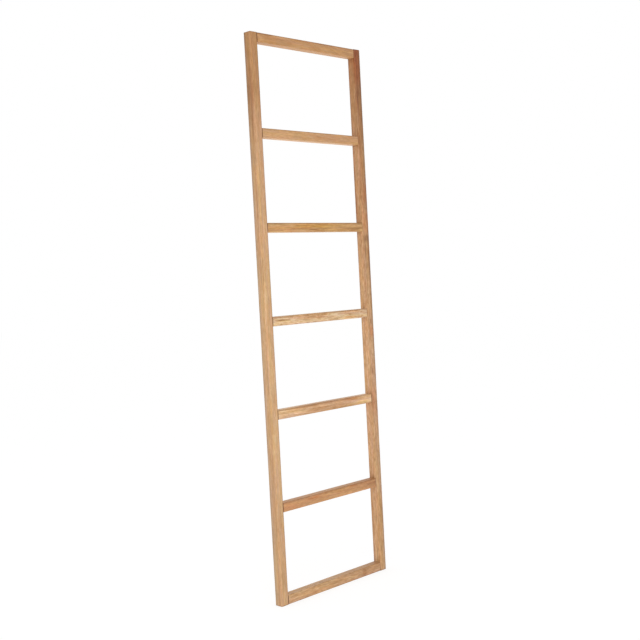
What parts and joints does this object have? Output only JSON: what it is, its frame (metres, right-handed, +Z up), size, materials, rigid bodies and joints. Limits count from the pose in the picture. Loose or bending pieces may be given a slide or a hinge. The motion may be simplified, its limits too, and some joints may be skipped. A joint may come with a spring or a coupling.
{
  "type": "leaning ladder frame",
  "caption": "Tall narrow ladder frame of square oak strips, with rungs between two uprights, that leans on a wall and holds hanging textiles.",
  "frame": {"origin": "middle of the footprint on the floor, with the frame standing upright", "axes": "+Z up along the uprights, +X to the right seen from the front, +Y back towards the wall"},
  "size_m": [0.5, 0.03, 1.8],
  "materials": {
    "stile_oak": "oiled satin oak with straight grain",
    "crossbar_oak": "oiled satin oak with cathedral grain",
    "dowel_beech": "raw beech, fluted"
  },
  "bodies": {
    "root": {"left_stile": "stile_oak", "right_stile": "stile_oak", "bottom_rail": "crossbar_oak", "rung_1": "crossbar_oak", "rung_2": "crossbar_oak", "rung_3": "crossbar_oak", "rung_4": "crossbar_oak", "rung_5": "crossbar_oak", "top_rail": "crossbar_oak", "bottom_rail_dowel_left_upper": "dowel_beech", "bottom_rail_dowel_left_lower": "dowel_beech", "bottom_rail_dowel_right_upper": "dowel_beech", "bottom_rail_dowel_right_lower": "dowel_beech", "rung_1_dowel_left_upper": "dowel_beech", "rung_1_dowel_left_lower": "dowel_beech", "rung_1_dowel_right_upper": "dowel_beech", "rung_1_dowel_right_lower": "dowel_beech", "rung_2_dowel_left_upper": "dowel_beech", "rung_2_dowel_left_lower": "dowel_beech", "rung_2_dowel_right_upper": "dowel_beech", "rung_2_dowel_right_lower": "dowel_beech", "rung_3_dowel_left_upper": "dowel_beech", "rung_3_dowel_left_lower": "dowel_beech", "rung_3_dowel_right_upper": "dowel_beech", "rung_3_dowel_right_lower": "dowel_beech", "rung_4_dowel_left_upper": "dowel_beech", "rung_4_dowel_left_lower": "dowel_beech", "rung_4_dowel_right_upper": "dowel_beech", "rung_4_dowel_right_lower": "dowel_beech", "rung_5_dowel_left_upper": "dowel_beech", "rung_5_dowel_left_lower": "dowel_beech", "rung_5_dowel_right_upper": "dowel_beech", "rung_5_dowel_right_lower": "dowel_beech", "top_rail_dowel_left_upper": "dowel_beech", "top_rail_dowel_left_lower": "dowel_beech", "top_rail_dowel_right_upper": "dowel_beech", "top_rail_dowel_right_lower": "dowel_beech"}
  },
  "joints": []
}
